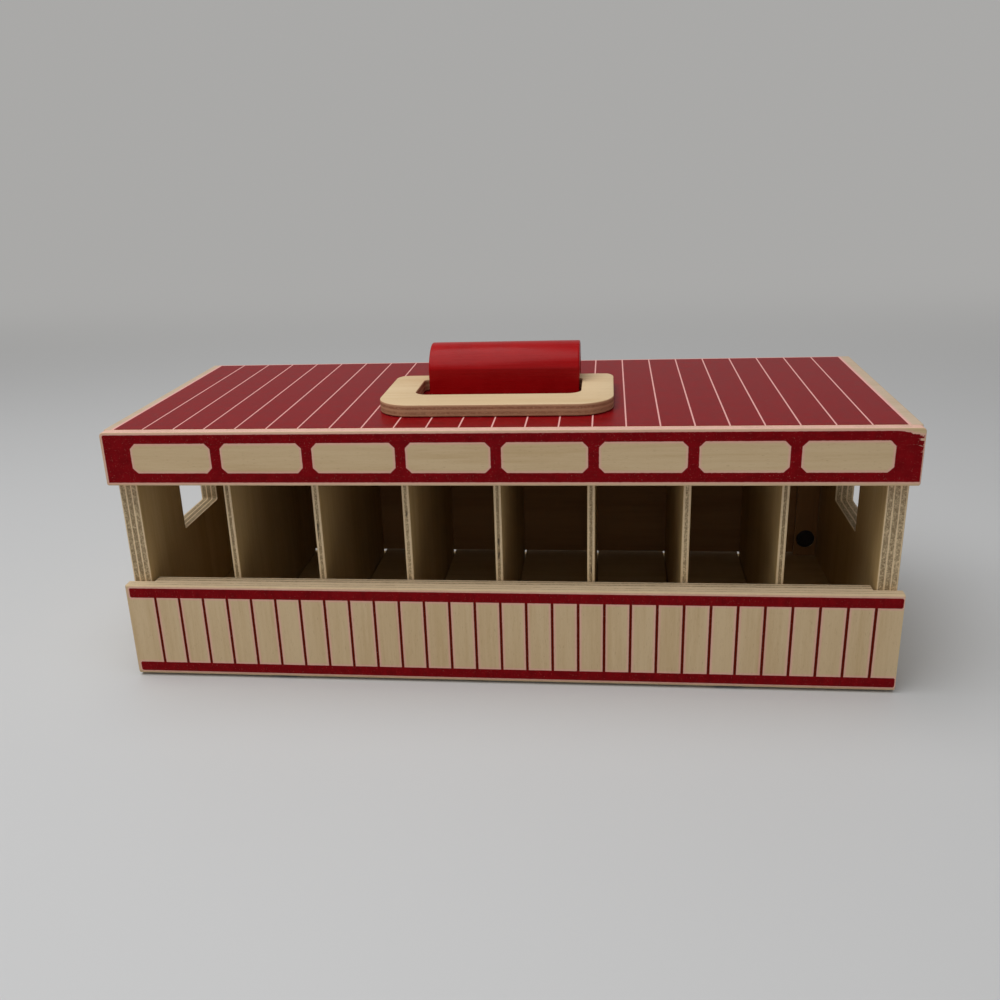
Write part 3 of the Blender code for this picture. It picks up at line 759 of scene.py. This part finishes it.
def makeRing():
    # an outer and an inner outline, bridged, raised to the board's thickness and eased along its edges
    low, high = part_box("handle_ring")
    thick = high.z - low.z
    middle = (low.z + high.z) / 2
    ring = roundedPlate(low, high, ringForm["frontCorner"], ringForm["rearCorner"])
    slotLow = Vector((low.x + ringForm["sideBar"], low.y + ringForm["gripBar"], low.z))
    slotHigh = Vector((high.x - ringForm["sideBar"], high.y - ringForm["pivotBar"], low.z))
    slot = roundedPlate(slotLow, slotHigh, ringForm["slotFrontCorner"], ringForm["slotRearCorner"])
    ring.select_set(True)
    slot.select_set(True)
    bpy.context.view_layer.objects.active = ring
    bpy.ops.object.join()
    bpy.ops.object.mode_set(mode="EDIT")
    bpy.ops.mesh.select_all(action="SELECT")
    bpy.ops.mesh.delete(type="ONLY_FACE")
    bpy.ops.mesh.select_mode(type="EDGE")
    bpy.ops.mesh.select_all(action="SELECT")
    bpy.ops.mesh.bridge_edge_loops()
    bpy.ops.mesh.select_mode(type="FACE")
    bpy.ops.mesh.select_all(action="SELECT")
    push(0, 0, thick)
    turnOutwards()
    bpy.ops.mesh.select_all(action="DESELECT")
    bpy.ops.mesh.select_mode(type="EDGE")
    bpy.ops.mesh.edges_select_sharp(sharpness=math.radians(sharpAngle))
    bpy.ops.mesh.bevel(offset=ringForm["ease"], segments=ringForm["easeSteps"], affect="EDGES")
    for share in ringForm["roundShares"]:
        bpy.ops.mesh.select_all(action="SELECT")
        bpy.ops.mesh.bisect(plane_co=(0, 0, middle + share * thick / 2), plane_no=(0, 0, 1))
    # the rear edge is a half round about the hinge, so each level there is drawn in towards it
    axisY = high.y - thick / 2
    for level in readLevels(middle):
        draw = math.sqrt(max(0, 1 - (2 * level / thick) ** 2))
        pick("VERT", lambda place: place.y > axisY and abs(place.z - middle - level) < tiny)
        bpy.ops.transform.resize(value=(1, draw, 1), center_override=(0, axisY, middle))
    tidyShape()
    hangOn(ring, "carry_ring", "carry_handle", "handle_ring",
           boards["handle_ring"]["surface"])


saddleForm = {
    "shoulder": 12.3 * mm,
    "crestSteps": 24,
    "shoulderRound": 0.5 * mm,
    "endRound": 0.8 * mm,
    "roundSteps": 3,
    "tunnelFront": 1.49 * mm,
    "tunnelRear": 14.9 * mm,
    "tunnelTop": 135.61 * mm,
}


def makeSaddle():
    # one section, drawn from the front wall over the crest, down, and round the tunnel for the bar
    low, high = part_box("handle_saddle")
    shoulder = low.z + saddleForm["shoulder"]
    rise = high.z - shoulder
    half = (high.y - low.y) / 2
    radius = (half ** 2 + rise ** 2) / (2 * rise)
    bpy.ops.object.select_all(action="DESELECT")
    bpy.ops.mesh.primitive_plane_add(
        size=1, location=((low.x + high.x) / 2, low.y, (low.z + shoulder) / 2),
        rotation=(math.radians(90), 0, 0))
    saddle = bpy.context.object
    saddle.scale = (high.x - low.x, saddleForm["shoulder"], 1)
    bakePlace()
    bpy.ops.object.mode_set(mode="EDIT")
    pick("EDGE", lambda first, second: near(first.z, second.z, shoulder))
    bpy.ops.mesh.spin(
        steps=saddleForm["crestSteps"], angle=2 * math.asin(half / radius),
        center=(0, low.y + half, high.z - radius), axis=(1, 0, 0))
    pick("EDGE", lambda first, second: near(first.y, second.y, high.y))
    push(0, 0, low.z - shoulder)
    push(0, saddleForm["tunnelRear"] - high.y, 0)
    push(0, 0, saddleForm["tunnelTop"] - low.z)
    push(0, saddleForm["tunnelFront"] - saddleForm["tunnelRear"], 0)
    push(0, 0, low.z - saddleForm["tunnelTop"])
    push(0, low.y - saddleForm["tunnelFront"], 0)
    bpy.ops.mesh.select_all(action="SELECT")
    bpy.ops.mesh.remove_doubles(threshold=tiny)
    for end in (low.x, high.x):
        pick("EDGE", lambda first, second: near(first.x, second.x, end))
        bpy.ops.mesh.edge_face_add()
    turnOutwards()
    steps = saddleForm["roundSteps"]
    pick("EDGE", lambda first, second: near(first.z, second.z, shoulder) and near(first.y, second.y))
    bpy.ops.mesh.bevel(offset=saddleForm["shoulderRound"], segments=steps, affect="EDGES")
    pick("EDGE", lambda first, second: near(first.x, second.x, low.x) or near(first.x, second.x, high.x))
    bpy.ops.mesh.bevel(offset=saddleForm["endRound"], segments=steps, affect="EDGES")
    tidyShape()
    hangOn(saddle, "saddle_block", "barn", "handle_saddle", paint)


screwForms = {
    "handle_screw": {"headRadius": 2.6 * mm, "headThick": 1.4 * mm, "shankRadius": 1.1 * mm},
    "front_hinge_screw": {"headRadius": 1.9 * mm, "headThick": 0.6 * mm, "shankRadius": 0.9 * mm},
}
screwDetail = {
    "facets": 32,
    "crown": 0.45,
    "crownSteps": 4,
    "armLength": 0.55,
    "armWidth": 0.13,
    "recess": 0.6,
    "recessTaper": 0.75,
    "tip": 1.2 * mm,
    "tipTaper": 0.1,
}


def cutCap(low, place, normal):
    # cuts only the screw's flat underside, where the recess for the driver goes
    pick("FACE", lambda centre: near(centre.z, low))
    bpy.ops.mesh.bisect(plane_co=place, plane_no=normal)


def makeScrew(node, form):
    # a screw that points up, with a crowned head and a cross recess in it
    low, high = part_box(node)
    x = (low.x + high.x) / 2
    y = (low.y + high.y) / 2
    headTop = low.z + form["headThick"]
    bpy.ops.object.select_all(action="DESELECT")
    bpy.ops.mesh.primitive_cylinder_add(
        vertices=screwDetail["facets"], radius=form["headRadius"], depth=form["headThick"],
        location=(x, y, low.z + form["headThick"] / 2))
    screw = bpy.context.object
    bakePlace()
    bpy.ops.object.mode_set(mode="EDIT")
    pick("EDGE", lambda first, second: near(first.z, second.z, low.z))
    bpy.ops.mesh.bevel(
        offset=form["headThick"] * screwDetail["crown"], segments=screwDetail["crownSteps"], affect="EDGES")
    arm = form["headRadius"] * screwDetail["armLength"]
    wide = form["headRadius"] * screwDetail["armWidth"]
    for reach in (arm, wide, -wide, -arm):
        cutCap(low.z, (x + reach, y, low.z), (1, 0, 0))
        cutCap(low.z, (x, y + reach, low.z), (0, 1, 0))

    def inCross(centre):
        offX = abs(centre.x - x)
        offY = abs(centre.y - y)
        return near(centre.z, low.z) and max(offX, offY) < arm and min(offX, offY) < wide

    pick("FACE", inCross)
    push(0, 0, form["headThick"] * screwDetail["recess"])
    taper = screwDetail["recessTaper"]
    bpy.ops.transform.resize(value=(taper, taper, 1), center_override=(x, y, low.z))
    pick("FACE", lambda centre: near(centre.z, headTop))
    bpy.ops.mesh.inset(thickness=form["headRadius"] - form["shankRadius"])
    push(0, 0, high.z - headTop - screwDetail["tip"])
    push(0, 0, screwDetail["tip"])
    taper = screwDetail["tipTaper"]
    bpy.ops.transform.resize(value=(taper, taper, 1), center_override=(x, y, high.z))
    tidyShape()
    return screw


def makeScrews(group, form):
    # the first is modelled and the other three are copies of it
    first = makeScrew(f"{group}_1", form)
    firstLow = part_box(f"{group}_1")[0]
    for number in range(2, 5):
        bpy.ops.object.select_all(action="DESELECT")
        first.select_set(True)
        bpy.context.view_layer.objects.active = first
        bpy.ops.object.duplicate(linked=False)
        copy = bpy.context.object
        bpy.ops.transform.translate(value=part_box(f"{group}_{number}")[0] - firstLow)
        bakePlace()
        hangOn(copy, f"{group}_piece_{number}", "barn", f"{group}_{number}", steel)
    hangOn(first, f"{group}_piece_1", "barn", f"{group}_1", steel)


magnetForm = {
    "facets": 48,
    "rim": 0.35 * mm,
    "rimSteps": 3,
    "dishShare": 0.16,
    "dishDepth": 0.12 * mm,
}


def makeMagnet(side):
    # a pressed disc with rounded rims and a shallow dish in its front face
    low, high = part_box(f"{side}_magnet")
    radius = (high.x - low.x) / 2
    bpy.ops.object.select_all(action="DESELECT")
    bpy.ops.mesh.primitive_cylinder_add(
        vertices=magnetForm["facets"], radius=radius, depth=high.y - low.y,
        location=(low + high) / 2, rotation=(math.radians(90), 0, 0))
    magnet = bpy.context.object
    bakePlace()
    bpy.ops.object.mode_set(mode="EDIT")
    pick("EDGE", lambda first, second: near(first.y, second.y))
    bpy.ops.mesh.bevel(offset=magnetForm["rim"], segments=magnetForm["rimSteps"], affect="EDGES")
    pick("FACE", lambda centre: near(centre.y, low.y))
    bpy.ops.mesh.inset(thickness=radius * magnetForm["dishShare"])
    bpy.ops.mesh.inset(thickness=magnetForm["dishDepth"])
    bpy.ops.transform.translate(value=(0, magnetForm["dishDepth"], 0))
    tidyShape()
    hangOn(magnet, f"{side}_magnet_disc", "barn", f"{side}_magnet", ferrite)


makeRing()
makeSaddle()
for group, form in screwForms.items():
    makeScrews(group, form)
for side in ("left", "right"):
    makeMagnet(side)
print("handle, screws and magnets modelled")


studio = {
    "floorSize": 7.0,
    "floorColour": (0.60, 0.605, 0.61, 1),
    "floorCloud": (0.55, 0.55, 0.55, 1),
    "cloudScale": 6,
    "cloudShare": 0.15,
    "floorRoughness": 0.55,
    "backdropY": 1.9,
    "backdropHeight": 3.0,
    "backdropGlow": (0.40, 0.396, 0.388, 1),
    "sweepRadius": 0.8,
    "sweepSteps": 24,
    "glowFrom": 0.25,
    "glowTo": 1.3,
    "skyColour": (1.0, 0.985, 0.965, 1),
    "skyStrength": 0.16,
    "aimHeight": 0.06,
    "topPlace": (-0.3, -0.2, 1.25),
    "topSize": 1.3,
    "topPower": 16.0,
    "frontPlace": (0.25, -1.9, 0.95),
    "frontSize": 1.4,
    "frontPower": 2.8,
}


def seenDirectly(sheet):
    # 1 for the eye and for what metal or glass reflects, 0 for the light that falls on things
    path = sheet.add("ShaderNodeLightPath", out="Is Camera Ray")
    outputs = path.socket.node.outputs
    seen = path.most(Wire(path.tree, outputs["Is Glossy Ray"]))
    return seen.most(Wire(path.tree, outputs["Is Transmission Ray"]))


def makeStage():
    # a floor that sweeps up into a backdrop
    backY = studio["backdropY"]
    bpy.ops.object.select_all(action="DESELECT")
    bpy.ops.mesh.primitive_plane_add(size=studio["floorSize"], location=(0, 0, 0))
    floor = bpy.context.object
    floor.name = "studio_floor"
    for corner in floor.data.vertices:
        if corner.co.y > 0:
            corner.co.y = backY
    bpy.ops.object.mode_set(mode="EDIT")
    pick("EDGE", lambda first, second: near(first.y, second.y, backY))
    push(0, 0, studio["backdropHeight"])
    pick("EDGE", lambda first, second: near(first.y, second.y, backY) and near(first.z, second.z, 0))
    bpy.ops.mesh.bevel(offset=studio["sweepRadius"], segments=studio["sweepSteps"], affect="EDGES")
    bpy.ops.object.mode_set(mode="OBJECT")
    bpy.ops.object.shade_smooth()
    surface, shader, place = newSurface("pale floor")
    cloud = place.stretch(studio["cloudScale"]).noise(2, 0.5) * studio["cloudShare"]
    connect(mixColours(cloud, studio["floorColour"], studio["floorCloud"]), shader, "Base Color")
    shader.inputs["Roughness"].default_value = studio["floorRoughness"]
    # the wall of the sweep is a plain pale grey to the eye and in reflections
    wall = place.split()[1].rise(studio["glowFrom"], studio["glowTo"])
    glow = wall.add("ShaderNodeEmission", None, {"Color": studio["backdropGlow"], "Strength": 1.0})
    floorLook = Wire(wall.tree, shader.outputs[0])
    mixed = wall.add("ShaderNodeMixShader", None, {0: seenDirectly(wall) * wall, 1: floorLook, 2: glow})
    connect(mixed, wall.tree.nodes["Material Output"], "Surface")
    setSurface(floor, surface)


def makeLamp(name, place, size, power):
    lamp = bpy.data.lights.new(name, "AREA")
    lamp.shape = "SQUARE"
    lamp.size = size
    lamp.energy = power
    holder = bpy.data.objects.new(name, lamp)
    holder.location = place
    aim = Vector((0, 0, studio["aimHeight"])) - Vector(place)
    holder.rotation_euler = aim.to_track_quat("-Z", "Y").to_euler()
    bpy.context.scene.collection.objects.link(holder)


def makeLights():
    world = bpy.data.worlds.new("studio")
    world.use_nodes = True
    sheet = Wire(world.node_tree)
    light = sheet.add("ShaderNodeBackground", None,
                      {"Color": studio["skyColour"], "Strength": studio["skyStrength"]})
    plain = sheet.add("ShaderNodeBackground", None, {"Color": studio["backdropGlow"], "Strength": 1.0})
    mixed = sheet.add("ShaderNodeMixShader", None, {0: seenDirectly(sheet), 1: light, 2: plain})
    connect(mixed, world.node_tree.nodes["World Output"], "Surface")
    bpy.context.scene.world = world
    makeLamp("top_softbox", studio["topPlace"], studio["topSize"], studio["topPower"])
    makeLamp("front_softbox", studio["frontPlace"], studio["frontSize"], studio["frontPower"])


photoView = {
    "focal": 1045.8,
    "middle": (472.7, 546.1),
    "frameSize": 1000,
    "sensor": 36,
    "clipStart": 10 * mm,
    "place": (48.55 * mm, -509.17 * mm, 237.44 * mm),
    "yaw": -7.74,
    "pitch": -21.02,
    "roll": -2.35,
}


def makeCamera():
    # the focal length and the middle are in pixels of the photograph's frame
    camera = bpy.data.cameras.new("photo_camera")
    camera.sensor_width = photoView["sensor"]
    camera.lens = photoView["focal"] / photoView["frameSize"] * camera.sensor_width
    camera.shift_x = 0.5 - photoView["middle"][0] / photoView["frameSize"]
    camera.shift_y = photoView["middle"][1] / photoView["frameSize"] - 0.5
    camera.clip_start = photoView["clipStart"]
    holder = bpy.data.objects.new("photo_camera", camera)
    turn = Matrix.Rotation(math.radians(-photoView["yaw"]), 4, "Z")
    turn = turn @ Matrix.Rotation(math.radians(90 + photoView["pitch"]), 4, "X")
    turn = turn @ Matrix.Rotation(math.radians(photoView["roll"]), 4, "Z")
    holder.matrix_world = Matrix.Translation(photoView["place"]) @ turn
    bpy.context.scene.collection.objects.link(holder)
    bpy.context.scene.camera = holder


makeStage()
makeLights()
makeCamera()
bpy.context.scene.view_settings.view_transform = "Standard"
print("studio ready")
